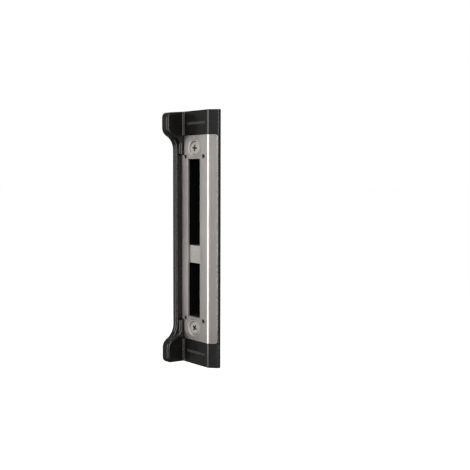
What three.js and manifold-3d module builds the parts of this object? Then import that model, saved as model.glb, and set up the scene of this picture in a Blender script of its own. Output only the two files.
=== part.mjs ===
// Gate-lock keep with a built-in gate stop: a black moulded housing carries a bent stainless strike
// plate, and two countersunk screws with expanding anchors clamp both to a square post.
//
// Frame: millimetres, +Z up. The origin is the centre of the flat back that lies on the post (Y = 0).
// The front faces -Y, the bevelled edge that the latch rides over is at +X, the gate stop is at -X.
import * as THREE from 'three';
import { mergeVertices } from 'three/addons/utils/BufferGeometryUtils.js';
import Module from 'manifold-3d';

const wasm = await Module();
wasm.setup();

// ---- Driving dimensions -------------------------------------------------------------------------
const height = 255;
const width = 52;
const plateFront = 9.2;       // front of the plate and the caps, out from the post
const sideWall = 3.2;         // square edge left beside the post, below the bevel
const bevelWidth = 8.4;       // how much of the width the bevel takes
const sheet = 2.5;            // strike plate thickness
const bendRadius = 5.5;       // outside of the plate's bend
const capHeight = 24.3;       // black cap above and below the plate
const gap = 0.3;              // clearance between pieces that touch
const lip = 0.8;              // strip of housing left beside the plate's bevelled edge

const rail = { width: 5, depth: 16.3, blend: 15 };
const ear = { width: 8.8, depth: 30.7, lean: 2.4, tipRadius: 5.5, frontRadius: 9 };
const foot = { depth: 13.5, blend: 7 };       // the ear's foot, which runs down beside the plate
const earShoulder = 104.8;    // height where the ear's front would meet the sloping run-down
const runDownSlope = 0.45;    // height lost for each millimetre of depth on that slope
const tongueEnd = 84;         // height where the ear's foot stops and the plate widens

const slot = { left: -11.2, right: 6.1, half: 79.5, corner: 0.8 };
const divider = { top: -7.2, bottom: -25.3, wing: 4.5, web: 2, leg: 14, thickness: 2 };
const box = { wall: 1.6, room: 0.8, corner: 3.6, depth: 17.4, flange: 2.2, flangeThickness: 1.5 };
const screw = { x: -1.6, z: 90.4, radius: 3, head: 6, sunk: 0.4, tip: 26, tipChamfer: 1 };
const cross = { span: 6.2, width: 1.7, depth: 2.2 };
const screwTurn = { upper: 0.1, lower: 0.5 };    // how each head happens to sit, in radians
const seat = { rim: 8.3, foot: 5.2, depth: 3.3 };
const pin = { x: { left: -14.9, right: 10.8 }, z: 82, radius: 1.7, sunk: 0.9, length: 3.9 };
const sleeve = { bore: 3.4, radius: 5, collar: 6.6, collarThickness: 1.4, front: -4.4 };
const fingers = { slitStart: 4, flareStart: 6, end: 17.6, tipRadius: 6.4, tipBore: 5, slit: 2 };
const nut = { start: 11.6, shoulder: 18, end: 22.4, radius: 6.1 };
const lug = { start: 12.6, reach: 5.9, thickness: 1.3 };
const core = { wall: 2.4, rib: 2, count: 3, depth: 6.4, earDepth: 25 };
const plateCorner = 2;
const turnSides = 36;
const smallTurnSides = 20;
const arcSteps = 6;

// ---- Derived places -----------------------------------------------------------------------------
const halfWidth = width / 2;
const halfHeight = height / 2;
const plateHalf = halfHeight - capHeight;
const plateBack = plateFront - sheet;
const bevelStart = halfWidth - bevelWidth;
const railFlank = rail.width - halfWidth;
const earFlank = ear.width - halfWidth;
const bevelAngle = Math.atan2(plateFront - sideWall, bevelWidth);
const ends = { upper: 1, lower: -1 };
const far = 200;              // past the object on every side
const past = 1;               // how far a cut runs beyond the face that it opens
const bite = 1;               // how far one solid reaches into the solid it is joined to

// ---- Solids from three.js geometry --------------------------------------------------------------
function toSolid(geometry) {
  const bare = geometry.index ? geometry.toNonIndexed() : geometry.clone();
  bare.deleteAttribute('normal');
  bare.deleteAttribute('uv');
  const merged = mergeVertices(bare, 1e-4);
  const corners = merged.index.array;
  const kept = [];
  for (let i = 0; i < corners.length; i += 3) {
    const [a, b, c] = corners.slice(i, i + 3);
    if (a !== b && b !== c && c !== a) kept.push(a, b, c);
  }
  return new wasm.Manifold(new wasm.Mesh({
    numProp: 3,
    vertProperties: Float32Array.from(merged.attributes.position.array),
    triVerts: Uint32Array.from(kept),
  }));
}

function toGeometry(solid) {
  const mesh = solid.getMesh();
  const geometry = new THREE.BufferGeometry();
  geometry.setAttribute('position', new THREE.BufferAttribute(mesh.vertProperties, 3));
  geometry.setIndex(new THREE.BufferAttribute(mesh.triVerts, 1));
  return geometry;
}

function extrude(outline, depth) {
  const shape = new THREE.Shape(outline);
  return new THREE.ExtrudeGeometry(shape, { depth, bevelEnabled: false });
}

// An outline in (x, y), run from z0 to z1
function alongZ(outline, z0, z1) {
  return toSolid(extrude(outline, z1 - z0).translate(0, 0, z0));
}

// An outline in (x, z), run from y0 to y1
function alongY(outline, y0, y1) {
  return toSolid(extrude(outline, y1 - y0).rotateX(Math.PI / 2).translate(0, y1, 0));
}

// An outline in (y, z), run from x0 to x1
function alongX(outline, x0, x1) {
  const axes = new THREE.Matrix4().makeBasis(
    new THREE.Vector3(0, 1, 0), new THREE.Vector3(0, 0, 1), new THREE.Vector3(1, 0, 0));
  return toSolid(extrude(outline, x1 - x0).applyMatrix4(axes).translate(x0, 0, 0));
}

function block(x0, x1, y0, y1, z0, z1) {
  const geometry = new THREE.BoxGeometry(x1 - x0, y1 - y0, z1 - z0);
  return toSolid(geometry.translate((x0 + x1) / 2, (y0 + y1) / 2, (z0 + z1) / 2));
}

// A body turned about the line along Y through (x, z), from [radius, y] points with y rising
function turned(points, x, z, sides = turnSides) {
  const profile = points.map(([radius, y]) => new THREE.Vector2(radius, y));
  return toSolid(new THREE.LatheGeometry(profile, sides).translate(x, 0, z));
}

function rod(radius, y0, y1, x, z, sides = turnSides) {
  return turned([[0, y0], [radius, y0], [radius, y1], [0, y1]], x, z, sides);
}

// A closed outline from corners [u, v, radius], each rounded by an arc where it has a radius
function rounded(corners) {
  return corners.flatMap((corner, i) => {
    const before = corners[(i + corners.length - 1) % corners.length];
    const after = corners[(i + 1) % corners.length];
    return cornerArc(before, corner, after);
  });
}

function cornerArc(before, corner, after) {
  const here = new THREE.Vector2(corner[0], corner[1]);
  const radius = corner[2];
  if (!radius) return [here];
  const back = new THREE.Vector2(before[0], before[1]).sub(here).normalize();
  const ahead = new THREE.Vector2(after[0], after[1]).sub(here).normalize();
  const half = Math.acos(back.dot(ahead)) / 2;
  const run = radius / Math.tan(half);
  const centre = back.clone().add(ahead).setLength(radius / Math.sin(half)).add(here);
  const start = back.multiplyScalar(run).add(here).sub(centre);
  const end = ahead.multiplyScalar(run).add(here).sub(centre);
  const turn = Math.atan2(start.cross(end), start.dot(end));
  const points = [];
  for (let step = 0; step <= arcSteps; step += 1) {
    const around = start.clone().rotateAround(new THREE.Vector2(), (turn * step) / arcSteps);
    points.push(around.add(centre));
  }
  return points;
}

function joined(solids) {
  return solids.reduce((whole, solid) => whole.add(solid));
}

// ---- Shared outlines ----------------------------------------------------------------------------

// The front surface in (x, y), shifted inwards by "inset": flat from the left, bent, then along the
// bevel to its edge or "reach" past it
function frontLine(left, inset, reach) {
  const along = [Math.cos(bevelAngle), Math.sin(bevelAngle)];
  const bendX = bevelStart - inset * Math.tan(bevelAngle / 2);
  const edgeX = halfWidth - inset * along[1] + reach * along[0];
  const edgeY = inset * along[0] - sideWall + reach * along[1];
  const radius = Math.max(bendRadius - inset, 0);
  return [[left, inset - plateFront], [bendX, inset - plateFront, radius], [edgeX, edgeY]];
}

// The plate seen from the front: it widens to the left between the two ears
function plateOutline(grow) {
  const narrow = earFlank + gap - grow;
  const wide = railFlank + gap - grow;
  const right = halfWidth - lip + grow;
  const tall = plateHalf + grow;
  const step = tongueEnd - gap + grow;
  const upper = [
    [wide, step, plateCorner], [narrow, step], [narrow, tall, plateCorner], [right, tall, plateCorner],
  ];
  const lower = upper.map(([x, z, radius]) => [x, -z, radius]).reverse();
  return rounded([...upper, ...lower]);
}

// The gate stop seen from the side, as (y, z): the ear's front, then the run-down to "depth"
function stopOutline(depth, blend) {
  const blendHeight = earShoulder - (ear.depth - depth) * runDownSlope;
  const upper = [
    [-depth, blendHeight, blend],
    [-ear.depth, earShoulder, ear.frontRadius],
    [-ear.depth, halfHeight - ear.lean, ear.tipRadius],
    [-plateFront, halfHeight],
    [0, halfHeight],
  ];
  const lower = upper.map(([y, z, radius]) => [y, -z, radius]).reverse();
  return rounded([...upper, ...lower]);
}

// ---- Black moulding -----------------------------------------------------------------------------
function housingBlank() {
  const section = rounded([...frontLine(-halfWidth, 0, 0), [halfWidth, 0], [-halfWidth, 0]]);
  const base = alongZ(section, -halfHeight, halfHeight);
  const stop = alongX(stopOutline(rail.depth, rail.blend), -halfWidth, railFlank);
  const feet = alongX(stopOutline(foot.depth, foot.blend), railFlank - bite, earFlank);
  const between = block(-far, far, -far, far, -tongueEnd, tongueEnd);
  return joined([base, stop, feet.subtract(between)]);
}

// Everything in front of the plate's back face, inside the plate's outline
function platePocket() {
  const inner = frontLine(-far, sheet + gap, gap - lip);
  const outer = frontLine(-far, -far, gap - lip)[2];
  const section = alongZ(rounded([...inner, outer, [-far, -far]]), -far * 2, far * 2);
  return alongY(plateOutline(gap), -far, 0).intersect(section);
}

// Seat behind the plate for the wings of the bolt divider
function dividerPocket() {
  const left = slot.left - divider.wing - gap;
  const right = slot.right + divider.wing + gap;
  const back = 2 * gap + divider.web - plateBack;
  return block(left, right, -plateFront, back, divider.bottom - gap, divider.top + gap);
}

// The slot's outline, grown, as the dust box and its hole have it
function boxOutline(sides, endGrow, corner) {
  const left = slot.left - sides;
  const right = slot.right + sides;
  const half = slot.half + endGrow;
  return rounded([
    [left, half, corner], [right, half, corner], [right, -half, corner], [left, -half, corner],
  ]);
}

// Through hole for the dust box, with a seat for its flange in the back
function boxPocket() {
  const sides = box.room + box.wall + gap;
  const hole = alongY(boxOutline(sides, box.wall + gap, box.corner + gap), -far, past);
  const flangeSeat = block(slot.left - sides - box.flange, slot.right + sides + box.flange,
    -box.flangeThickness - gap, past, box.corner - slot.half, slot.half - box.corner);
  return hole.add(flangeSeat);
}

function anchorHole(z) {
  const collarFloor = sleeve.front + sleeve.collarThickness + gap;
  return joined([
    rod(sleeve.radius + gap, -plateFront, past, screw.x, z),
    rod(sleeve.collar + gap, -plateFront, collarFloor, screw.x, z),
  ]);
}

function pinHole(x, z) {
  const floor = pin.sunk + pin.length + gap - plateFront;
  return rod(pin.radius + gap, -far, floor, x, z, smallTurnSides);
}

function pinHoles(side) {
  return Object.values(pin.x).map((x) => pinHole(x, side * pin.z));
}

// Core-outs open to the post, which keep the walls of the caps and ears even
function coreOuts(side) {
  const z = ordered(side * (plateHalf + core.wall / 2), side * (halfHeight - core.wall));
  const earRight = earFlank - core.wall;
  const span = (bevelStart - earRight - core.count * core.rib) / core.count;
  const pockets = [block(core.wall - halfWidth, earRight, -core.earDepth, past, ...z)];
  for (let k = 0; k < core.count; k += 1) {
    const start = earRight + core.rib + k * (span + core.rib);
    pockets.push(block(start, start + span, -core.depth, past, ...z));
  }
  return joined(pockets);
}

function ordered(a, b) {
  return a < b ? [a, b] : [b, a];
}

function stopHousing() {
  const cuts = [platePocket(), dividerPocket(), boxPocket()];
  for (const side of Object.values(ends)) {
    cuts.push(anchorHole(side * screw.z), coreOuts(side), ...pinHoles(side));
  }
  return housingBlank().subtract(joined(cuts));
}

// ---- Stainless strike plate and the divider behind it -------------------------------------------
function strikePlate() {
  const outer = frontLine(-far, 0, -lip);
  const inner = frontLine(-far, sheet, -lip).reverse();
  const bent = alongZ(rounded([...outer, ...inner]), -plateHalf, plateHalf);
  const cuts = [alongY(boxOutline(0, 0, slot.corner), -far, 0)];
  for (const side of Object.values(ends)) {
    cuts.push(seatCone(side * screw.z, gap), ...pinHoles(side));
  }
  return bent.intersect(alongY(plateOutline(0), -far, 0)).subtract(joined(cuts));
}

// A bridge behind the slot that parts the latch window from the dead-bolt window, with two legs
// that reach back into the dust box
function boltDivider() {
  const { top, bottom, wing, web, leg, thickness } = divider;
  const front = gap - plateBack;
  const left = slot.left - box.room + gap;
  const right = slot.right + box.room - gap;
  return joined([
    block(slot.left - wing, slot.right + wing, front, front + web, bottom, top),
    block(left, right, front, front + leg, top - thickness, top),
    block(left, right, front, front + leg, bottom, bottom + thickness),
  ]);
}

// Closed black tray that lines the cut-out in the post
function dustBox() {
  const sides = box.room + box.wall;
  const front = 3 * gap + divider.web - plateBack;
  const shell = alongY(boxOutline(sides, box.wall, box.corner), front, box.depth);
  const flange = block(slot.left - sides - box.flange + gap, slot.right + sides + box.flange - gap,
    -box.flangeThickness, 0, box.corner + gap - slot.half, slot.half - box.corner - gap);
  const inside = alongY(boxOutline(box.room, 0, box.corner - box.wall), -far, box.depth - box.wall);
  return shell.add(flange).subtract(inside);
}

function platePin(x, z) {
  const front = pin.sunk - plateFront;
  return rod(pin.radius, front, front + pin.length, x, z, smallTurnSides);
}

// ---- Clamp fixings, each on a line along Y at height z ------------------------------------------

// Outside of the screw seat, or the matching countersink when grown
function seatCone(z, grow) {
  const front = -plateFront;
  const coneEnd = front + seat.rim - seat.foot;
  return turned([
    [0, front], [seat.rim + grow, front], [seat.foot + grow, coneEnd],
    [seat.foot + grow, front + seat.depth], [0, front + seat.depth],
  ], screw.x, z);
}

// Dished washer that sits in the plate and takes the countersunk head in a 90 degree cone
function screwSeat(z) {
  const front = -plateFront - past;
  const back = seat.depth - plateFront + past;
  const frontRadius = screw.head + screw.sunk + gap * Math.SQRT2 + past;
  const backRadius = frontRadius - (back - front);
  const cone = turned([[0, front], [frontRadius, front], [backRadius, back], [0, back]], screw.x, z);
  return seatCone(z, 0).subtract(cone);
}

function clampScrew(z, turn) {
  const top = screw.sunk - plateFront;
  const blank = turned([
    [0, top], [screw.head, top], [screw.radius, top + screw.head - screw.radius],
    [screw.radius, screw.tip - screw.tipChamfer], [screw.radius - screw.tipChamfer, screw.tip],
    [0, screw.tip],
  ], screw.x, z);
  const wing = (angle) => {
    const bar = new THREE.BoxGeometry(cross.span, 2 * cross.depth, cross.width);
    return toSolid(bar.rotateY(angle).translate(screw.x, top, z));
  };
  return blank.subtract(wing(turn).add(wing(turn + Math.PI / 2)));
}

// Tube through the post wall whose slit end is spread behind it by the cone nut
function anchorSleeve(z) {
  const { slitStart, flareStart, end, tipRadius, tipBore, slit } = fingers;
  const collarBack = sleeve.front + sleeve.collarThickness;
  const outside = turned([
    [0, sleeve.front], [sleeve.collar, sleeve.front], [sleeve.collar, collarBack],
    [sleeve.radius, collarBack], [sleeve.radius, flareStart], [tipRadius, end], [0, end],
  ], screw.x, z);
  const bore = turned([
    [0, sleeve.front - past], [sleeve.bore, sleeve.front - past], [sleeve.bore, flareStart],
    [tipBore, end], [tipBore, end + past], [0, end + past],
  ], screw.x, z);
  const slits = joined([
    block(screw.x - far, screw.x + far, slitStart, end + past, z - slit / 2, z + slit / 2),
    block(screw.x - slit / 2, screw.x + slit / 2, slitStart, end + past, z - far, z + far),
  ]);
  return outside.subtract(bore).subtract(slits);
}

// Threaded cone that is drawn into the sleeve; its two lugs run in the slits and keep it from turning
function coneNut(z) {
  const flareRate = (fingers.tipBore - sleeve.bore) / (fingers.end - fingers.flareStart);
  const coneRadius = (y) => sleeve.bore + (y - fingers.flareStart) * flareRate - gap;
  const body = turned([
    [0, nut.start], [coneRadius(nut.start), nut.start], [coneRadius(nut.shoulder), nut.shoulder],
    [nut.radius, nut.shoulder], [nut.radius, nut.end], [0, nut.end],
  ], screw.x, z);
  const lugs = block(screw.x - lug.reach, screw.x + lug.reach, lug.start, nut.shoulder + bite,
    z - lug.thickness / 2, z + lug.thickness / 2);
  return body.add(lugs).subtract(rod(screw.radius + gap, 0, far, screw.x, z));
}

// ---- Assembly -----------------------------------------------------------------------------------
const finishes = {
  moulding: { color: 0x1d1c1b, roughness: 0.42, metalness: 0 },
  blackTrim: { color: 0x101010, roughness: 0.6, metalness: 0 },
  stainless: { color: 0xa9a5a1, roughness: 0.36, metalness: 1 },
  brightSteel: { color: 0xb9b5ad, roughness: 0.28, metalness: 1 },
  zincSteel: { color: 0x9fa3a6, roughness: 0.45, metalness: 1 },
};

function piece(name, solid, finish) {
  const mesh = new THREE.Mesh(toGeometry(solid), new THREE.MeshStandardMaterial(finish));
  mesh.name = name;
  return mesh;
}

function assembly() {
  const keep = new THREE.Group();
  keep.add(
    piece('stop_housing', stopHousing(), finishes.moulding),
    piece('dust_box', dustBox(), finishes.blackTrim),
    piece('strike_plate', strikePlate(), finishes.stainless),
    piece('bolt_divider', boltDivider(), finishes.brightSteel),
  );
  for (const [end, side] of Object.entries(ends)) {
    const z = side * screw.z;
    keep.add(
      piece(`${end}_screw_seat`, screwSeat(z), finishes.stainless),
      piece(`${end}_clamp_screw`, clampScrew(z, screwTurn[end]), finishes.brightSteel),
      piece(`${end}_anchor_sleeve`, anchorSleeve(z), finishes.zincSteel),
      piece(`${end}_cone_nut`, coneNut(z), finishes.zincSteel),
    );
    for (const [hand, x] of Object.entries(pin.x)) {
      keep.add(piece(`${end}_${hand}_plate_pin`, platePin(x, side * pin.z), finishes.blackTrim));
    }
  }
  return keep;
}

export default assembly();
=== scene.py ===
"""Looks for the gate-lock keep: rounded mouldings, bent sheet, turned fixings, and their materials.

Shapes are worked out in millimetres in the CAD model's frame and scaled to metres at the end.
The front faces -Y, +Z is up, the bevelled edge is at +X and the gate stop at -X.
"""
import math

import bmesh
import bpy
import numpy as np
from mathutils import Matrix, Vector


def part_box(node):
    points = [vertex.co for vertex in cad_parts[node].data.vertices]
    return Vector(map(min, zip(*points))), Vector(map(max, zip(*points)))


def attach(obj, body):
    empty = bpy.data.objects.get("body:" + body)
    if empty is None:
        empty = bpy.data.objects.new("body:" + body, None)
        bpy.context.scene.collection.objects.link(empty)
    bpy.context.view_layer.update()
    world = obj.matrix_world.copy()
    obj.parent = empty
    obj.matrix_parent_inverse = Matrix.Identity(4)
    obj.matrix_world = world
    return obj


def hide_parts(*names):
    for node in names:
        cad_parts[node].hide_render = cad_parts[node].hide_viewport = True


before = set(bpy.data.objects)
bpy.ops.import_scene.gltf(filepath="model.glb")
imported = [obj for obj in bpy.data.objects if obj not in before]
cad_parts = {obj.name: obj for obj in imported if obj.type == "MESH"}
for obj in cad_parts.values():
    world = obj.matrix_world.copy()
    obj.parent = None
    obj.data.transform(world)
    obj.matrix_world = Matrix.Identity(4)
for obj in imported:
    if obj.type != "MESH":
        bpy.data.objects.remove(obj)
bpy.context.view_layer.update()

MM = 0.001
SIDES = {"upper": 1, "lower": -1}
FAR = 200.0                   # beyond every piece, for solids that cut right through
OVERLAP = 1.0                 # how far a joined or cutting solid runs past the face it meets


def node_box(name):
    """Lowest and highest corner of a CAD node, in millimetres."""
    low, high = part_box(name)
    return low / MM, high / MM


# ---- Sizes read from the frame, in millimetres ---------------------------------------------------
housing_low, housing_high = node_box("stop_housing")
plate_low, plate_high = node_box("strike_plate")
HALF_WIDTH = housing_high.x
HALF_HEIGHT = housing_high.z
PLATE_HALF = plate_high.z
PLATE_FRONT = -plate_low.y
EAR_DEPTH = -housing_low.y

# ---- Sizes that the boxes don't give, as in the CAD model ----------------------------------------
GAP = 0.3
SHEET = 2.5
BEND_RADIUS = 5.5
BEVEL_WIDTH = 8.4
SIDE_WALL = 3.2
LIP = 0.8
RAIL_WIDTH, RAIL_DEPTH, RAIL_BLEND = 5.0, 16.3, 15.0
EAR_WIDTH, EAR_LEAN, EAR_TIP, EAR_FRONT = 8.8, 2.4, 5.5, 9.0
FOOT_DEPTH, FOOT_BLEND = 13.5, 7.0
EAR_SHOULDER = 104.8
RUN_DOWN_SLOPE = 0.45
TONGUE_END = 84.0
SLOT_LEFT, SLOT_RIGHT, SLOT_HALF, SLOT_CORNER = -11.2, 6.1, 79.5, 0.8
PLATE_CORNER, NOTCH_CORNER = 2.0, 0.6
BOX_WALL, BOX_ROOM, BOX_CORNER = 1.6, 0.8, 3.6
BOX_FLANGE = 1.5
DIVIDER_WEB, DIVIDER_LEG = 2.0, 2.0
SCREW_X, SCREW_Z = -1.6, 90.4
SCREW_RADIUS, SCREW_CORE, THREAD_PITCH = 3.0, 2.45, 1.0
PLAIN_SHANK, THREAD_START, SHANK_STEP = 1.5, 2.0, 2.2      # distances below the head
CROSS_SPAN, CROSS_WIDTH, CROSS_DEPTH = 6.2, 1.7, 2.2
SCREW_TURN = {"upper": 0.1, "lower": 0.5}                  # how each cross stands, in radians
SEAT_FOOT = 5.2
SLEEVE_RADIUS, SLEEVE_BORE, COLLAR_THICKNESS = 5.0, 3.4, 1.4
FLARE_START, FINGER_RADIUS, FINGER_BORE = 6.0, 6.4, 5.0
SLIT, SLIT_START = 2.0, 4.0
NUT_SHOULDER = 18.0
LUG, LUG_REACH = 1.3, 5.9
LUG_START, LUG_ROOT = 1.0, 0.2                             # behind the nut's tip, outside its bore
PIN_X = {"left": -14.9, "right": 10.8}
PIN_Z, PIN_HOLE = 82.0, 2.0
CORE_WALL, CORE_RIB, CORE_COUNT, CORE_DEPTH, CORE_EAR_DEPTH = 2.4, 2.0, 3, 6.4, 25.0

BEVEL_START = HALF_WIDTH - BEVEL_WIDTH
BEVEL_ANGLE = math.atan2(PLATE_FRONT - SIDE_WALL, BEVEL_WIDTH)
RAIL_FLANK = RAIL_WIDTH - HALF_WIDTH
EAR_FLANK = EAR_WIDTH - HALF_WIDTH

# ---- Looks, in millimetres where not said otherwise ----------------------------------------------
BASE_ROUND = 0.8              # edges of the base and caps, and the outer edges of the stop
STOP_ROUND = 2.2              # edges of the stop towards the plate
SNUG = 0.08                   # how much of the CAD clearance round a screw seat is closed up
FILLET = 2.2                  # where an ear meets its cap
PLATE_EDGE, DIVIDER_EDGE, BOX_EDGE = 0.3, 0.35, 0.6
DOME, DOME_STEPS = 0.5, 6
CUT_FACE = 0.4                # how far from square to the sheet a cut face may lean, as a cosine
CAP_BAR_LENGTH, CAP_BAR_TALL, CAP_BAR_PROUD = 26.0, 2.6, 0.35
CAP_BAR_X, CAP_BAR_Z = 1.0, 115.0
ARC_STEPS = 10
ROUND_SIDES, PIN_SIDES = 72, 40
THREAD_ROWS, THREAD_SIDES = 8, 48
SHARP = 28                    # edges sharper than this many degrees are rounded or shaded sharp
FLAT, VERY_FLAT = 0.5, 0.1    # faces closer in angle than this many degrees are merged
WELD, FINE_WELD = 0.004, 0.001
CLEAR = 0.02                  # keeps a cutting face from lying in the face of another piece
TOUCH = 0.05                  # slack in telling which faces belong to a feature


# ---- Outlines ------------------------------------------------------------------------------------
def corner_arc(before, here, after, radius, steps):
    """The arc that rounds the corner "here" between its two neighbours."""
    here = Vector(here[:2])
    if not radius:
        return [here]
    back = (Vector(before[:2]) - here).normalized()
    ahead = (Vector(after[:2]) - here).normalized()
    half = back.angle(ahead) / 2
    centre = here + (back + ahead).normalized() * (radius / math.sin(half))
    start = here + back * (radius / math.tan(half)) - centre
    end = here + ahead * (radius / math.tan(half)) - centre
    turn = math.atan2(start.x * end.y - start.y * end.x, start.dot(end))
    return [centre + Matrix.Rotation(turn * k / steps, 2) @ start for k in range(steps + 1)]


def rounded(corners, steps=ARC_STEPS):
    """A closed outline from corners (u, v) or (u, v, radius)."""
    points = []
    for i, here in enumerate(corners):
        radius = here[2] if len(here) > 2 else 0
        points += corner_arc(corners[i - 1], here, corners[(i + 1) % len(corners)], radius, steps)
    return points


def front_line(left, inset, reach):
    """The front surface in (x, y), shifted inwards: flat, bent, then along the bevel to its edge."""
    along = Vector((math.cos(BEVEL_ANGLE), math.sin(BEVEL_ANGLE)))
    bend_x = BEVEL_START - inset * math.tan(BEVEL_ANGLE / 2)
    edge = (HALF_WIDTH - inset * along.y + reach * along.x, inset * along.x - SIDE_WALL + reach * along.y)
    return [(left, inset - PLATE_FRONT), (bend_x, inset - PLATE_FRONT, max(BEND_RADIUS - inset, 0)), edge]


def mirrored(upper):
    """An outline whose lower half mirrors the given upper half."""
    lower = [(u, -v, *radius) for u, v, *radius in reversed(upper)]
    return rounded(upper + lower)


def plate_outline(grow):
    """The plate seen from the front: it widens to the left between the two ears."""
    narrow = EAR_FLANK + GAP - grow
    wide = RAIL_FLANK + GAP - grow
    right = HALF_WIDTH - LIP + grow
    tall = PLATE_HALF + grow
    step = TONGUE_END - GAP + grow
    return mirrored([(wide, step, PLATE_CORNER), (narrow, step, NOTCH_CORNER),
                     (narrow, tall, PLATE_CORNER), (right, tall, PLATE_CORNER)])


def stop_outline(depth, blend):
    """The gate stop from the side, as (y, z): the ear's front, then the run-down to "depth"."""
    blend_height = EAR_SHOULDER - (EAR_DEPTH - depth) * RUN_DOWN_SLOPE
    return mirrored([
        (-depth, blend_height, blend),
        (-EAR_DEPTH, EAR_SHOULDER, EAR_FRONT),
        (-EAR_DEPTH, HALF_HEIGHT - EAR_LEAN, EAR_TIP),
        (-PLATE_FRONT, HALF_HEIGHT),
        (0, HALF_HEIGHT),
    ])


def slot_outline(sides, ends, corner):
    """The slot seen from the front, grown at its sides and ends."""
    tall = SLOT_HALF + ends
    return mirrored([(SLOT_LEFT - sides, tall, corner), (SLOT_RIGHT + sides, tall, corner)])


# ---- Mesh tools ----------------------------------------------------------------------------------
PLACE = {
    "x": lambda u, v, w: (w, u, v),      # an outline in (y, z), run along x
    "y": lambda u, v, w: (u, w, v),      # an outline in (x, z), run along y
    "z": lambda u, v, w: (u, v, w),      # an outline in (x, y), run along z
}


def prism(outline, axis, low, high):
    """A closed prism with one face at each end."""
    bm = bmesh.new()
    rings = [[bm.verts.new(PLACE[axis](u, v, w)) for u, v in outline] for w in (low, high)]
    bm.faces.new(rings[0])
    bm.faces.new(rings[1])
    for i in range(len(outline)):
        bm.faces.new((rings[0][i - 1], rings[0][i], rings[1][i], rings[1][i - 1]))
    bmesh.ops.recalc_face_normals(bm, faces=bm.faces)
    return bm


def block(x0, x1, y0, y1, z0, z1):
    """A plain box between two corners."""
    return prism([(x0, y0), (x1, y0), (x1, y1), (x0, y1)], "z", *sorted((z0, z1)))


def circle(bm, radius, x, y, z, sides):
    """Vertices round the line along Y through (x, z), or one vertex where the radius is 0."""
    if radius == 0:
        return [bm.verts.new((x, y, z))]
    angles = [2 * math.pi * k / sides for k in range(sides)]
    return [bm.verts.new((x + radius * math.cos(a), y, z + radius * math.sin(a))) for a in angles]


def lathe(profile, x, z, sides=ROUND_SIDES):
    """A body turned about the line along Y through (x, z), from (radius, y) points; ends on the axis."""
    bm = bmesh.new()
    circles = [circle(bm, radius, x, y, z, sides) for radius, y in profile]
    for low, high in zip(circles, circles[1:]):
        for k in range(sides):
            after = k + 1
            corners = [low[k % len(low)], low[after % len(low)],
                       high[after % len(high)], high[k % len(high)]]
            bm.faces.new(list(dict.fromkeys(corners)))
    bmesh.ops.recalc_face_normals(bm, faces=bm.faces)
    return bm


def ring(profile, x, z, sides=ROUND_SIDES):
    """A turned ring whose profile closes on itself."""
    bm = bmesh.new()
    circles = [circle(bm, radius, x, y, z, sides) for radius, y in profile]
    for near, far in zip([circles[-1], *circles], circles):
        for k in range(sides):
            after = (k + 1) % sides
            bm.faces.new((near[k], near[after], far[after], far[k]))
    bmesh.ops.recalc_face_normals(bm, faces=bm.faces)
    return bm


def to_object(bm):
    """A working object with this mesh; the mesh data is used up."""
    mesh = bpy.data.meshes.new("work")
    bm.to_mesh(mesh)
    bm.free()
    made = bpy.data.objects.new("work", mesh)
    bpy.context.scene.collection.objects.link(made)
    return made


def mesh_of(target):
    """The mesh of a working object, as bmesh; the object is used up."""
    bm = bmesh.new()
    bm.from_mesh(target.data)
    bpy.data.objects.remove(target)
    return bm


def join_meshes(objects):
    """Several working objects as one, each still its own closed shell."""
    bm = bmesh.new()
    for part in objects:
        bm.from_mesh(part.data)
        bpy.data.objects.remove(part)
    return to_object(bm)


def combine(target, cutters, operation):
    """target with each cutter joined or cut by an exact boolean; the cutters are used up."""
    for cutter in cutters:
        tool = to_object(cutter)
        step = target.modifiers.new("step", "BOOLEAN")
        step.operation = operation
        step.solver = "EXACT"
        step.object = tool
        bake_modifiers(target)
        bpy.data.objects.remove(tool)
    return target


def bake_modifiers(target):
    """Applies the modifiers to the mesh."""
    depsgraph = bpy.context.evaluated_depsgraph_get()
    baked = bpy.data.meshes.new_from_object(target.evaluated_get(depsgraph))
    target.modifiers.clear()
    target.data = baked


def tidy_mesh(target, angle=FLAT):
    """Welds stray points and dissolves flat seams left by booleans."""
    bm = bmesh.new()
    bm.from_mesh(target.data)
    bmesh.ops.remove_doubles(bm, verts=bm.verts, dist=WELD)
    bmesh.ops.dissolve_degenerate(bm, edges=bm.edges, dist=WELD)
    bmesh.ops.dissolve_limit(bm, angle_limit=math.radians(angle), verts=bm.verts, edges=bm.edges)
    bm.to_mesh(target.data)
    bm.free()
    return target


def round_edges(target, width, wanted=lambda edge: True, sharper_than=SHARP, segments=4):
    """Rounds the sharp edges that "wanted" picks."""
    bm = bmesh.new()
    bm.from_mesh(target.data)
    limit = math.radians(sharper_than)
    chosen = [e for e in bm.edges if e.is_manifold and e.calc_face_angle(0) > limit and wanted(e)]
    bmesh.ops.bevel(bm, geom=chosen, offset=width, offset_type="OFFSET", segments=segments, profile=0.5,
                    affect="EDGES", clamp_overlap=False, miter_outer="ARC", loop_slide=True)
    bm.to_mesh(target.data)
    bm.free()
    return target


def finish_piece(target, name, material, body, node):
    """Names, scales, shades and places a finished piece that stands for a CAD node."""
    target.name = target.data.name = name
    target.data.materials.clear()
    target.data.materials.append(material)
    for face in target.data.polygons:
        face.use_smooth = True
        face.material_index = 0
    target.data.transform(Matrix.Scale(MM, 4))
    target.data.set_sharp_from_angle(angle=math.radians(SHARP))
    weighted = target.modifiers.new("even_shading", "WEIGHTED_NORMAL")
    weighted.keep_sharp = True
    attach(target, body)
    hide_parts(node)


def add_finish(target, material, faces):
    """A second material on some faces of a finished piece."""
    target.data.materials.append(material)
    for index in faces:
        target.data.polygons[index].material_index = 1


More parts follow.
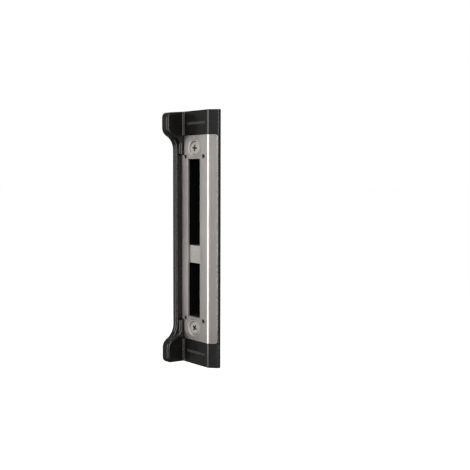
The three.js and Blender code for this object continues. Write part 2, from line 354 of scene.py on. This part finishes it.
# ---- Materials -----------------------------------------------------------------------------------
NOISE_LOW, NOISE_HIGH = 0.3, 0.7      # the range that most of a noise's values fall in
FLOW_SCALE, CLOUD_SCALE = (60, 60, 14), (40, 40, 12)      # all scales are per metre
GRAIN_SCALE, PATCH_SCALE = 2600.0, 70.0
GRAIN_DEPTH, BRUSH_DEPTH = 0.05, 0.02                     # in millimetres
FLOW_BUMP = 0.06
PLASTIC_SPECULAR = 0.6
BROAD_SHARE = 0.18                    # scale of the broad streaks, as a share of the fine ones'
CLOUD_WEIGHT = 0.5                    # how much the clouds change the gloss


class Nodes:
    """Short calls for building a node material on the object's own coordinates, in metres."""

    def __init__(self, name):
        self.material = bpy.data.materials.new(name)
        self.material.use_nodes = True
        self.tree = self.material.node_tree
        self.shader = self.tree.nodes["Principled BSDF"]
        coordinates = self.tree.nodes.new("ShaderNodeTexCoord")
        self.place = coordinates.outputs["Object"]

    def link(self, source, node, socket):
        self.tree.links.new(source, node.inputs[socket])

    def stretched(self, x, y, z):
        """The object's coordinates times a scale for each axis."""
        mapping = self.tree.nodes.new("ShaderNodeMapping")
        mapping.inputs["Scale"].default_value = (x, y, z)
        self.link(self.place, mapping, "Vector")
        return mapping.outputs["Vector"]

    def noise(self, vector, scale, detail=4.0, roughness=0.55):
        noise = self.tree.nodes.new("ShaderNodeTexNoise")
        noise.inputs["Scale"].default_value = scale
        noise.inputs["Detail"].default_value = detail
        noise.inputs["Roughness"].default_value = roughness
        self.link(vector, noise, "Vector")
        return noise.outputs["Fac"]

    def spread(self, factor, low, high, start=NOISE_LOW, end=NOISE_HIGH):
        """A number that runs from low to high as the factor goes from start to end."""
        spread = self.tree.nodes.new("ShaderNodeMapRange")
        for socket, value in (("From Min", start), ("From Max", end), ("To Min", low), ("To Max", high)):
            spread.inputs[socket].default_value = value
        self.link(factor, spread, "Value")
        return spread.outputs["Result"]

    def colours(self, factor, low, high):
        """A colour that runs from low to high over a noise's usual range."""
        ramp = self.tree.nodes.new("ShaderNodeValToRGB")
        ramp.color_ramp.elements[0].position = NOISE_LOW
        ramp.color_ramp.elements[1].position = NOISE_HIGH
        ramp.color_ramp.elements[0].color = (*low, 1)
        ramp.color_ramp.elements[1].color = (*high, 1)
        self.link(factor, ramp, "Fac")
        return ramp.outputs["Color"]

    def bump(self, heights, distance_mm):
        """Bump from one height after another, each with its strength."""
        normal = None
        for height, strength in heights:
            bump = self.tree.nodes.new("ShaderNodeBump")
            bump.inputs["Strength"].default_value = strength
            bump.inputs["Distance"].default_value = distance_mm * MM
            self.link(height, bump, "Height")
            if normal:
                self.link(normal, bump, "Normal")
            normal = bump.outputs["Normal"]
        self.link(normal, self.shader, "Normal")


def moulded_plastic(name, dark, light, rough_low, rough_high, grain):
    """Black moulded plastic: fine spark-eroded grain, faint flow marks, uneven gloss."""
    n = Nodes(name)
    flow = n.noise(n.stretched(*FLOW_SCALE), 1.0, detail=3)
    fine = n.noise(n.place, GRAIN_SCALE, detail=2)
    patches = n.noise(n.place, PATCH_SCALE, detail=5)
    n.link(n.colours(flow, dark, light), n.shader, "Base Color")
    n.link(n.spread(patches, rough_low, rough_high), n.shader, "Roughness")
    n.shader.inputs["Specular IOR Level"].default_value = PLASTIC_SPECULAR
    n.bump([(fine, grain), (flow, FLOW_BUMP)], GRAIN_DEPTH)
    return n.material


def brushed_metal(name, dark, light, rough_low, rough_high, brush, strength=0.3, anisotropy=0.5):
    """Worked or plated metal, streaked along the axis with the smallest scale in "brush", if one has."""
    n = Nodes(name)
    streaks = n.noise(n.stretched(*brush), 1.0, detail=6, roughness=0.7)
    clouds = n.noise(n.stretched(*CLOUD_SCALE), 1.0, detail=3)
    broad = n.noise(n.stretched(*(value * BROAD_SHARE for value in brush)), 1.0, detail=4)
    n.link(n.colours(streaks, dark, light), n.shader, "Base Color")
    mixed = n.tree.nodes.new("ShaderNodeMath")
    mixed.operation = "MULTIPLY_ADD"
    mixed.inputs[1].default_value = CLOUD_WEIGHT
    n.link(clouds, mixed, 0)
    n.link(n.spread(broad, 0.0, 1 - CLOUD_WEIGHT, 0.0, 1.0), mixed, 2)
    n.link(n.spread(mixed.outputs[0], rough_low, rough_high), n.shader, "Roughness")
    n.shader.inputs["Metallic"].default_value = 1.0
    n.shader.inputs["Anisotropic"].default_value = anisotropy
    n.bump([(streaks, strength)], BRUSH_DEPTH)
    return n.material


def make_materials():
    """Every material by its slot in the record, and those of a few single faces.

    Each has its darkest and lightest colour and its lowest and highest roughness; then a plastic has
    the strength of its grain, and a metal its brush scales, their strength and its anisotropy.
    """
    return {
        "moulding": moulded_plastic("satin_black_nylon", (0.004, 0.0033, 0.0028), (0.0085, 0.0068, 0.006),
                                    0.2, 0.32, 0.03),
        # Cap bars: a lighter, rougher black nylon. Its lighter colour is painted sheen, standing in for
        # light catching the raised bar.
        "painted_sheen_nylon": moulded_plastic("black_nylon_painted_sheen", (0.02, 0.018, 0.017), (0.05, 0.047, 0.045),
                                      0.42, 0.55, 0.2),
        "black_trim": moulded_plastic("dull_black_plastic", (0.003, 0.003, 0.003), (0.006, 0.006, 0.006),
                                      0.55, 0.7, 0.2),
        "brushed_stainless": brushed_metal("brushed_stainless", (0.44, 0.415, 0.395), (0.60, 0.57, 0.55),
                                           0.26, 0.37, (2600, 2600, 40)),
        "cut_stainless": brushed_metal("cut_stainless", (0.60, 0.57, 0.54), (0.78, 0.75, 0.72),
                                       0.55, 0.7, (900, 900, 2600), 0.3, 0.0),
        "cross_brushed_stainless": brushed_metal("cross_brushed_stainless", (0.40, 0.385, 0.365),
                                                 (0.56, 0.54, 0.515), 0.34, 0.46, (60, 1500, 2600)),
        "turned_stainless": brushed_metal("turned_stainless", (0.52, 0.50, 0.47), (0.68, 0.66, 0.63),
                                          0.36, 0.48, (700, 700, 700), 0.12, 0.0),
        "screw_steel": brushed_metal("screw_steel", (0.62, 0.59, 0.52), (0.80, 0.77, 0.69),
                                     0.34, 0.46, (500, 500, 500), 0.08, 0.0),
        # Screw recesses: the near-black colour on the steel's cross recess is painted shade in the hollow.
        "recess": moulded_plastic("recess_painted_shade", (0.012, 0.011, 0.009), (0.03, 0.028, 0.024),
                                  0.5, 0.7, 0.1),
        "zinc_steel": brushed_metal("zinc_plated_steel", (0.42, 0.43, 0.44), (0.58, 0.60, 0.62),
                                    0.3, 0.5, (300, 300, 300), 0.15, 0.0),
    }


# ---- Pieces --------------------------------------------------------------------------------------
def plate_pocket():
    """Everything in front of the plate's back face, inside the plate's outline."""
    inner = front_line(-FAR, SHEET + GAP, GAP - LIP)
    outer = front_line(-FAR, -FAR, GAP - LIP)[2]
    section = prism(rounded([*inner, outer, (-FAR, -FAR)]), "z", -FAR, FAR)
    pocket = to_object(prism(plate_outline(GAP - CLEAR), "y", -FAR, 0))
    return mesh_of(combine(pocket, [section], "INTERSECT"))


def stop_housing():
    """The black moulding: base and caps, stop rail, and ears whose feet run down beside the plate."""
    section = rounded([*front_line(-HALF_WIDTH, 0, 0), (HALF_WIDTH, 0), (-HALF_WIDTH, 0)])
    housing = to_object(prism(section, "z", -HALF_HEIGHT, HALF_HEIGHT))
    round_edges(housing, BASE_ROUND, in_front)
    rail = to_object(prism(stop_outline(RAIL_DEPTH, RAIL_BLEND), "x", -HALF_WIDTH, RAIL_FLANK))
    round_edges(rail, STOP_ROUND, lambda edge: in_front(edge) and on_the_right(edge))
    round_edges(rail, BASE_ROUND, lambda edge: in_front(edge) and not on_the_right(edge))
    feet = to_object(prism(stop_outline(FOOT_DEPTH, FOOT_BLEND), "x", STOP_ROUND - HALF_WIDTH, EAR_FLANK))
    combine(feet, [block(-FAR, FAR, -FAR, FAR, -TONGUE_END, TONGUE_END)], "DIFFERENCE")
    round_edges(feet, STOP_ROUND, lambda edge: in_front(edge) and on_the_right(edge))
    combine(housing, [mesh_of(rail), mesh_of(feet)], "UNION")
    for side in SIDES.values():
        combine(housing, [cap_bar(side), ear_fillet(side)], "UNION")
    combine(housing, [plate_pocket(), divider_pocket(), box_hole()], "DIFFERENCE")
    pin_bottom = node_box("upper_left_plate_pin")[1].y + GAP
    for side in SIDES.values():
        combine(housing, [anchor_hole(side * SCREW_Z), *core_outs(side)], "DIFFERENCE")
        combine(housing, [pin_hole(x, side * PIN_Z, pin_bottom) for x in PIN_X.values()], "DIFFERENCE")
    return tidy_mesh(housing, VERY_FLAT)


def in_front(edge, y=-SIDE_WALL / 2):
    """Whether an edge lies wholly in front of y, by default well clear of the back face."""
    return max(v.co.y for v in edge.verts) < y


def behind(edge, y):
    """Whether an edge lies wholly behind y."""
    return min(v.co.y for v in edge.verts) > y


def on_the_right(edge):
    """Whether an edge of the stop reaches the side that faces the plate."""
    return max(v.co.x for v in edge.verts) > RAIL_FLANK - GAP


def ear_fillet(side):
    """Concave fillet where the flank of an ear meets the front of its cap."""
    across, deep = EAR_FLANK, -PLATE_FRONT
    arc = [(across + FILLET * (1 - math.cos(a)), deep - FILLET * (1 - math.sin(a)))
           for a in np.linspace(0, math.pi / 2, ARC_STEPS + 1)]
    inside, below = across - OVERLAP, deep + OVERLAP
    outline = [(inside, below), (inside, deep - FILLET), *arc, (across + FILLET, below)]
    z = sorted((side * (PLATE_HALF + GAP), side * (HALF_HEIGHT - BASE_ROUND)))
    return prism(outline, "z", *z)


def cap_bar(side):
    """Plain raised bar with round ends on the front of a cap."""
    half_length, half_tall = CAP_BAR_LENGTH / 2, CAP_BAR_TALL / 2
    end_round, top_round = half_tall * 0.98, CAP_BAR_PROUD * 0.6
    z = side * CAP_BAR_Z
    corners = [(-1, -1), (1, -1), (1, 1), (-1, 1)]
    outline = rounded([(CAP_BAR_X + u * half_length, z + v * half_tall, end_round) for u, v in corners])
    bar = to_object(prism(outline, "y", -PLATE_FRONT - CAP_BAR_PROUD, OVERLAP - PLATE_FRONT))
    round_edges(bar, top_round, lambda edge: in_front(edge, -PLATE_FRONT), sharper_than=50)
    return mesh_of(bar)


def is_cap_bar(face):
    """Whether a face of the housing belongs to the raised bar of a cap."""
    along = abs(face.center.x - CAP_BAR_X) < CAP_BAR_LENGTH / 2 + 2 * TOUCH
    level = abs(abs(face.center.z) - CAP_BAR_Z) < CAP_BAR_TALL / 2 + 2 * TOUCH
    return along and level and face.center.y < TOUCH - PLATE_FRONT - CAP_BAR_PROUD / 2


def divider_pocket():
    """Room for the divider's web, behind the plate."""
    low, high = node_box("bolt_divider")
    back = low.y + DIVIDER_WEB + GAP
    return block(low.x - GAP, high.x + GAP, -PLATE_FRONT, back, low.z - GAP, high.z + GAP)


def box_hole():
    """Through hole for the dust box and the seat for its flange."""
    sides = BOX_ROOM + BOX_WALL + GAP
    hole = to_object(prism(slot_outline(sides, BOX_WALL + GAP, BOX_CORNER + GAP), "y", -FAR, OVERLAP))
    low, high = node_box("dust_box")
    seat_half = SLOT_HALF - BOX_CORNER
    seat = block(low.x - GAP, high.x + GAP, -BOX_FLANGE - GAP, OVERLAP, -seat_half, seat_half)
    return mesh_of(combine(hole, [seat], "UNION"))


def anchor_hole(z):
    """Stepped through hole for a sleeve and its collar."""
    low, high = node_box("upper_anchor_sleeve")
    collar = (high.x - low.x) / 2 + GAP
    floor = low.y + COLLAR_THICKNESS + GAP
    narrow = SLEEVE_RADIUS + GAP
    profile = [(0, -PLATE_FRONT), (collar, -PLATE_FRONT), (collar, floor), (narrow, floor),
               (narrow, OVERLAP), (0, OVERLAP)]
    return lathe(profile, SCREW_X, z)


def pin_hole(x, z, bottom):
    """A plain round hole from the front, as deep as y = bottom."""
    return lathe([(0, -FAR), (PIN_HOLE, -FAR), (PIN_HOLE, bottom), (0, bottom)], x, z, PIN_SIDES)


def core_outs(side):
    """Pockets in the back of a cap and its ear that keep the walls even."""
    z0, z1 = side * (PLATE_HALF + CORE_WALL / 2), side * (HALF_HEIGHT - CORE_WALL)
    ear_right = EAR_FLANK - CORE_WALL
    span = (BEVEL_START - ear_right - CORE_COUNT * CORE_RIB) / CORE_COUNT
    places = [(CORE_WALL - HALF_WIDTH, ear_right, CORE_EAR_DEPTH)]
    for k in range(CORE_COUNT):
        start = ear_right + CORE_RIB + k * (span + CORE_RIB)
        places.append((start, start + span, CORE_DEPTH))
    return [block(x0, x1, -depth, OVERLAP, z0, z1) for x0, x1, depth in places]


def strike_plate():
    """The bent stainless sheet with its slot, pin holes and countersinks, edges just broken."""
    outer = front_line(-FAR, 0, -LIP)
    inner = front_line(-FAR, SHEET, -LIP)[::-1]
    plate = to_object(prism(rounded([*outer, *inner]), "z", -PLATE_HALF, PLATE_HALF))
    combine(plate, [prism(plate_outline(0), "y", -FAR, 0)], "INTERSECT")
    holes = [prism(slot_outline(0, 0, SLOT_CORNER), "y", -FAR, 0)]
    for side in SIDES.values():
        holes.append(countersink(side * SCREW_Z))
        holes += [pin_hole(x, side * PIN_Z, 0) for x in PIN_X.values()]
    combine(plate, holes, "DIFFERENCE")
    tidy_mesh(plate)
    return round_edges(plate, PLATE_EDGE, sharper_than=38, segments=3)


def is_cut_edge(face):
    """Whether a face of the plate lies across the sheet, where it was sheared or punched."""
    if face.center.x < BEVEL_START:
        return abs(face.normal.y) < CUT_FACE
    return abs(face.normal.x * math.sin(BEVEL_ANGLE) - face.normal.y * math.cos(BEVEL_ANGLE)) < CUT_FACE


def countersink(z):
    """The hole in the plate for a screw seat, with clearance all round."""
    low, high = node_box("upper_screw_seat")
    rim, foot = (high.x - low.x) / 2 + GAP, SEAT_FOOT + GAP
    above, below = low.y - OVERLAP, high.y + GAP
    profile = [(0, above), (rim, above), (rim, low.y),
               (foot, low.y + rim - foot), (foot, below), (0, below)]
    return lathe(profile, SCREW_X, z)


def screw_seat(z):
    """Dished washer round a countersunk head, with softened lips."""
    low, high = node_box("upper_screw_seat")
    rim, foot = (high.x - low.x) / 2 + SNUG, SEAT_FOOT + SNUG
    head_low, head_high = node_box("upper_clamp_screw")
    inside = (head_high.x - head_low.x) / 2 + (head_low.y - low.y) + GAP * math.sqrt(2) - SNUG
    depth = high.y - low.y
    soft = 0.2
    profile = [
        (inside, low.y + soft), (inside + soft, low.y), (rim - soft, low.y), (rim, low.y + soft),
        (foot, low.y + rim - foot + soft), (foot, high.y), (inside - depth, high.y),
    ]
    return to_object(ring(profile, SCREW_X, z))


def bolt_divider():
    """The stainless bridge behind the slot, with two legs back into the dust box."""
    low, high = node_box("bolt_divider")
    web_back = low.y + DIVIDER_WEB
    left = SLOT_LEFT - BOX_ROOM + GAP
    right = SLOT_RIGHT + BOX_ROOM - GAP
    divider = to_object(block(low.x, high.x, low.y, web_back, low.z, high.z))
    start = web_back - OVERLAP
    legs = [block(left, right, start, high.y, high.z - DIVIDER_LEG, high.z),
            block(left, right, start, high.y, low.z, low.z + DIVIDER_LEG)]
    combine(divider, legs, "UNION")
    return round_edges(tidy_mesh(divider), DIVIDER_EDGE)


def dust_box():
    """Closed black tray with a flange that seats in the back of the housing."""
    low, high = node_box("dust_box")
    tray = to_object(prism(slot_outline(BOX_ROOM + BOX_WALL, BOX_WALL, BOX_CORNER), "y", low.y, high.y))
    seat_half = SLOT_HALF - BOX_CORNER - GAP
    flange = block(low.x, high.x, -BOX_FLANGE, 0, -seat_half, seat_half)
    combine(tray, [flange], "UNION")
    tidy_mesh(tray)
    round_edges(tray, BOX_EDGE, lambda edge: behind(edge, -BOX_FLANGE - 2 * TOUCH))
    inside = prism(slot_outline(BOX_ROOM, 0, BOX_CORNER - BOX_WALL), "y", -FAR, high.y - BOX_WALL)
    return combine(tray, [inside], "DIFFERENCE")


def plate_pin(node):
    """Push pin with a softly domed head."""
    low, high = node_box(node)
    middle, radius = (low + high) / 2, (high.x - low.x) / 2
    first_angle, chamfer = 0.3, 0.4
    dome = [(radius * math.sin(a), low.y + DOME * (1 - math.cos(a)))
            for a in np.linspace(first_angle, math.pi / 2, DOME_STEPS)]
    profile = [(0, low.y), *dome, (radius, high.y - chamfer), (radius - chamfer, high.y), (0, high.y)]
    return to_object(lathe(profile, middle.x, middle.z, PIN_SIDES))


def clamp_screw(node, turn):
    """Countersunk screw: cross recess in the head, real thread down the shank."""
    low, high = node_box(node)
    x, z = (low.x + high.x) / 2, (low.z + high.z) / 2
    head = (high.x - low.x) / 2
    neck = low.y + head - SCREW_RADIUS
    soft = 0.25
    profile = [
        (0, low.y), (head - 2 * soft, low.y), (head - 0.6 * soft, low.y + 0.3 * soft), (head, low.y + soft),
        (SCREW_RADIUS, neck), (SCREW_RADIUS, neck + PLAIN_SHANK),
        (SCREW_CORE, neck + SHANK_STEP), (0, neck + SHANK_STEP),
    ]
    blank = to_object(lathe(profile, x, z))
    bars = []
    for angle in (turn, turn + math.pi / 2):
        bar = cross_bar(low.y)
        bmesh.ops.rotate(bar, verts=bar.verts, matrix=Matrix.Rotation(angle, 3, "Y"))
        bmesh.ops.translate(bar, verts=bar.verts, vec=(x, 0, z))
        bars.append(bar)
    combine(blank, bars, "DIFFERENCE")
    tidy_mesh(blank)
    return join_meshes([blank, to_object(thread(x, z, neck + THREAD_START, high.y))])


def is_recess(face, top, z):
    """Whether a face of a screw at height z, whose head is at y = top, lies inside its cross recess."""
    from_axis = math.hypot(face.center.x - SCREW_X, face.center.z - z)
    return from_axis < CROSS_SPAN / 2 + TOUCH and TOUCH < face.center.y - top < CROSS_DEPTH + TOUCH


def cross_bar(top):
    """One bar of the cross recess, narrowing as it goes down."""
    wide, narrow, half_thick = CROSS_SPAN / 2, CROSS_SPAN / 4.5, CROSS_WIDTH / 2
    flare, bottom = 0.3, top + CROSS_DEPTH
    outline = [(-wide - flare, top - flare), (wide + flare, top - flare), (wide, top),
               (narrow, bottom), (-narrow, bottom), (-wide, top)]
    return prism(outline, "z", -half_thick, half_thick)


def thread_row(bm, row, x, z, y0, y1):
    """One turn of vertices at one height of the thread's profile, running down to the core at the tip."""
    half_pitch = THREAD_ROWS / 2
    height = 1 - abs(row % THREAD_ROWS - half_pitch) / half_pitch
    steepness, root_share, tip_slope = 1.5, 0.25, 0.8
    height = min(max(steepness * height - root_share, 0), 1)
    line = []
    for k in range(THREAD_SIDES):
        angle = 2 * math.pi * k / THREAD_SIDES
        y = y0 + THREAD_PITCH * (row / THREAD_ROWS - 1 + k / THREAD_SIDES)
        proud = min((SCREW_RADIUS - SCREW_CORE) * height, max(y1 - y, 0) * tip_slope)
        radius = SCREW_CORE + proud
        if y <= y0 or y >= y1:
            y, radius = min(max(y, y0), y1), SCREW_CORE
        line.append(bm.verts.new((x + radius * math.cos(angle), y, z - radius * math.sin(angle))))
    return line


def thread(x, z, y0, y1):
    """A threaded rod on the line along Y: a skin of helical rows, flattened at both ends."""
    rows = int((y1 - y0) / THREAD_PITCH + 2) * THREAD_ROWS
    bm = bmesh.new()
    skin = [thread_row(bm, row, x, z, y0, y1) for row in range(rows + 1)]
    for low, high in zip(skin, skin[1:]):
        for k in range(THREAD_SIDES - 1):
            bm.faces.new((low[k], low[k + 1], high[k + 1], high[k]))
    for row in range(rows - THREAD_ROWS):
        after = row + THREAD_ROWS
        bm.faces.new((skin[row][-1], skin[after][0], skin[after + 1][0], skin[row + 1][-1]))
    bmesh.ops.remove_doubles(bm, verts=bm.verts, dist=FINE_WELD)
    bmesh.ops.dissolve_degenerate(bm, edges=bm.edges, dist=FINE_WELD)
    bmesh.ops.holes_fill(bm, edges=[e for e in bm.edges if e.is_boundary])
    bmesh.ops.recalc_face_normals(bm, faces=bm.faces)
    return bm


def anchor_sleeve(node):
    """Split sleeve: collar, tube, and four fingers spread towards the tip."""
    low, high = node_box(node)
    x, z = (low.x + high.x) / 2, (low.z + high.z) / 2
    collar = (high.x - low.x) / 2
    collar_back = low.y + COLLAR_THICKNESS
    soft = 0.3
    profile = [
        (SLEEVE_BORE, low.y), (collar - soft, low.y), (collar, low.y + soft), (collar, collar_back),
        (SLEEVE_RADIUS, collar_back), (SLEEVE_RADIUS, FLARE_START), (FINGER_RADIUS, high.y - soft),
        (FINGER_RADIUS - soft, high.y), (FINGER_BORE, high.y), (SLEEVE_BORE, FLARE_START),
    ]
    sleeve = to_object(ring(profile, x, z))
    half, reach = SLIT / 2, collar + OVERLAP
    end = high.y + OVERLAP
    slits = [block(x - reach, x + reach, SLIT_START, end, z - half, z + half),
             block(x - half, x + half, SLIT_START, end, z - reach, z + reach)]
    combine(sleeve, slits, "DIFFERENCE")
    return tidy_mesh(sleeve, VERY_FLAT)


def cone_nut(node):
    """Cone with a collar and two lugs that run in the sleeve's slits."""
    low, high = node_box(node)
    x, z = (low.x + high.x) / 2, (low.z + high.z) / 2
    rate = (FINGER_BORE - SLEEVE_BORE) / (node_box("upper_anchor_sleeve")[1].y - FLARE_START)
    cone = [SLEEVE_BORE + (y - FLARE_START) * rate - GAP for y in (low.y, NUT_SHOULDER)]
    collar = (high.x - low.x) / 2
    bore = SCREW_RADIUS + GAP
    soft = 0.4
    profile = [
        (bore, low.y), (cone[0], low.y), (cone[1], NUT_SHOULDER), (collar - soft, NUT_SHOULDER),
        (collar, NUT_SHOULDER + soft), (collar, high.y - soft), (collar - soft, high.y), (bore, high.y),
    ]
    nut = to_object(ring(profile, x, z))
    half, root = LUG / 2, bore + LUG_ROOT
    start, end = low.y + LUG_START, NUT_SHOULDER + OVERLAP
    lugs = [block(x - LUG_REACH, x - root, start, end, z - half, z + half),
            block(x + root, x + LUG_REACH, start, end, z - half, z + half)]
    combine(nut, lugs, "UNION")
    return tidy_mesh(nut, VERY_FLAT)


# ---- Assembly ------------------------------------------------------------------------------------
def build_keep():
    """Makes every piece, gives it its materials and puts it on its body."""
    materials = make_materials()

    def place(piece, name, slot, body, node):
        finish_piece(piece, name, materials[slot], body, node)

    housing = stop_housing()
    bar_faces = [face.index for face in housing.data.polygons if is_cap_bar(face)]
    place(housing, "housing_moulding", "moulding", "keep_body", "stop_housing")
    # The cap bars' faces take the lighter nylon, whose lighter colour is painted sheen.
    add_finish(housing, materials["painted_sheen_nylon"], bar_faces)
    plate = strike_plate()
    cut_faces = [face.index for face in plate.data.polygons if is_cut_edge(face)]
    place(plate, "bent_strike_plate", "brushed_stainless", "keep_body", "strike_plate")
    add_finish(plate, materials["cut_stainless"], cut_faces)
    place(bolt_divider(), "divider_bridge", "cross_brushed_stainless", "keep_body", "bolt_divider")
    place(dust_box(), "dust_tray", "black_trim", "keep_body", "dust_box")
    for end, side in SIDES.items():
        screw, sleeve, nut, seat = (f"{end}_{part}" for part in
                                    ("clamp_screw", "anchor_sleeve", "cone_nut", "screw_seat"))
        place(screw_seat(side * SCREW_Z), f"{end}_seat_washer", "turned_stainless", "keep_body", seat)
        threaded = clamp_screw(screw, SCREW_TURN[end])
        top, z = node_box(screw)[0].y, side * SCREW_Z
        recess_faces = [face.index for face in threaded.data.polygons if is_recess(face, top, z)]
        place(threaded, f"{end}_countersunk_screw", "screw_steel", f"{end}_screw", screw)
        # The cross recess faces take the near-black finish, which is painted shade.
        add_finish(threaded, materials["recess"], recess_faces)
        place(anchor_sleeve(sleeve), f"{end}_split_sleeve", "zinc_steel", "keep_body", sleeve)
        place(cone_nut(nut), f"{end}_wedge_nut", "zinc_steel", f"{end}_nut", nut)
        for hand in PIN_X:
            pin = f"{end}_{hand}_plate_pin"
            place(plate_pin(pin), f"{end}_{hand}_push_pin", "black_trim", "keep_body", pin)


# ---- Camera, light and floor ---------------------------------------------------------------------
CAMERA_PLACE = (453.0, -442.0, 60.7)      # in millimetres
CAMERA_TURN, CAMERA_DOWN, CAMERA_ROLL = math.radians(42.7), math.radians(2.75), math.radians(0.17)
CAMERA_LENS = 48.08
CAMERA_SHIFT = -0.0572
WORLD_FILL, WORLD_SHOWN = 0.13, 1.0
FLOOR_LEVEL, FLOOR_RADIUS, FLOOR_SIDES = -0.45, 30.0, 96      # in metres
FLOOR_GREY, FLOOR_GLOW = 0.35, 0.95

# Name, azimuth and elevation in degrees, distance, width and height in metres, radiance
PANELS = [
    ("left_panel", -48, 5, 1.5, 0.7, 1.6, 0.15),
    ("front_strip", -12, 5, 1.5, 0.95, 1.6, 3.2),
    ("bevel_panel", 40, 5, 1.5, 0.8, 1.6, 0.45),
    ("edge_panel", 84, 8, 1.5, 0.5, 1.6, 5.0),
    ("left_fill", -110, 8, 1.5, 1.2, 1.4, 1.2),
    ("rear_panel", 165, 8, 1.5, 0.5, 1.4, 5.0),
    ("top_panel", 0, 80, 1.5, 1.2, 1.2, 1.2),
]


def add_camera():
    """A nearly level view from the front right."""
    camera = bpy.data.objects.new("camera", bpy.data.cameras.new("camera"))
    bpy.context.scene.collection.objects.link(camera)
    camera.data.lens = CAMERA_LENS
    camera.data.shift_y = CAMERA_SHIFT
    turn = Matrix.Rotation(CAMERA_TURN, 4, "Z")
    tilt = Matrix.Rotation(math.pi / 2 - CAMERA_DOWN, 4, "X")
    roll = Matrix.Rotation(CAMERA_ROLL, 4, "Z")
    camera.matrix_world = Matrix.Translation(Vector(CAMERA_PLACE) * MM) @ turn @ tilt @ roll
    bpy.context.scene.camera = camera


def add_panel(name, azimuth, elevation, distance, width, height, radiance):
    """A soft light panel that faces the keep; azimuth 0 is straight in front, positive towards +X."""
    light = bpy.data.objects.new(name, bpy.data.lights.new(name, "AREA"))
    bpy.context.scene.collection.objects.link(light)
    light.data.shape = "RECTANGLE"
    light.data.size, light.data.size_y = width, height
    light.data.energy = radiance * math.pi * width * height
    a, e = math.radians(azimuth), math.radians(elevation)
    away = Vector((math.sin(a) * math.cos(e), -math.cos(a) * math.cos(e), math.sin(e)))
    light.location = away * distance
    light.rotation_mode = "QUATERNION"
    light.rotation_quaternion = away.to_track_quat("Z", "Y")


def add_world():
    """White behind the keep, and a dim even surround in what it reflects."""
    world = bpy.data.worlds.new("studio")
    bpy.context.scene.world = world
    world.use_nodes = True
    tree = world.node_tree
    background = tree.nodes["Background"]
    path = tree.nodes.new("ShaderNodeLightPath")
    shown = tree.nodes.new("ShaderNodeMapRange")
    tree.links.new(path.outputs["Is Camera Ray"], shown.inputs["Value"])
    shown.inputs["To Min"].default_value = WORLD_FILL
    shown.inputs["To Max"].default_value = WORLD_SHOWN
    tree.links.new(shown.outputs["Result"], background.inputs["Strength"])
    background.inputs["Color"].default_value = (1, 1, 1, 1)


def add_floor():
    """Plain pale floor, bright enough to run into the white behind it."""
    bpy.ops.mesh.primitive_circle_add(vertices=FLOOR_SIDES, radius=FLOOR_RADIUS, fill_type="NGON",
                                      location=(0, 0, FLOOR_LEVEL))
    floor = bpy.context.object
    floor.name = "floor"
    floor.visible_glossy = False
    floor.visible_diffuse = False
    material = bpy.data.materials.new("floor")
    material.use_nodes = True
    shader = material.node_tree.nodes["Principled BSDF"]
    shader.inputs["Base Color"].default_value = (FLOOR_GREY, FLOOR_GREY, FLOOR_GREY, 1)
    shader.inputs["Roughness"].default_value = 1.0
    shader.inputs["Specular IOR Level"].default_value = 0.0
    shader.inputs["Emission Color"].default_value = (1, 1, 1, 1)
    shader.inputs["Emission Strength"].default_value = FLOOR_GLOW
    floor.data.materials.append(material)


build_keep()
add_camera()
add_world()
add_floor()
for panel in PANELS:
    add_panel(*panel)
bpy.context.scene.view_settings.view_transform = "Standard"
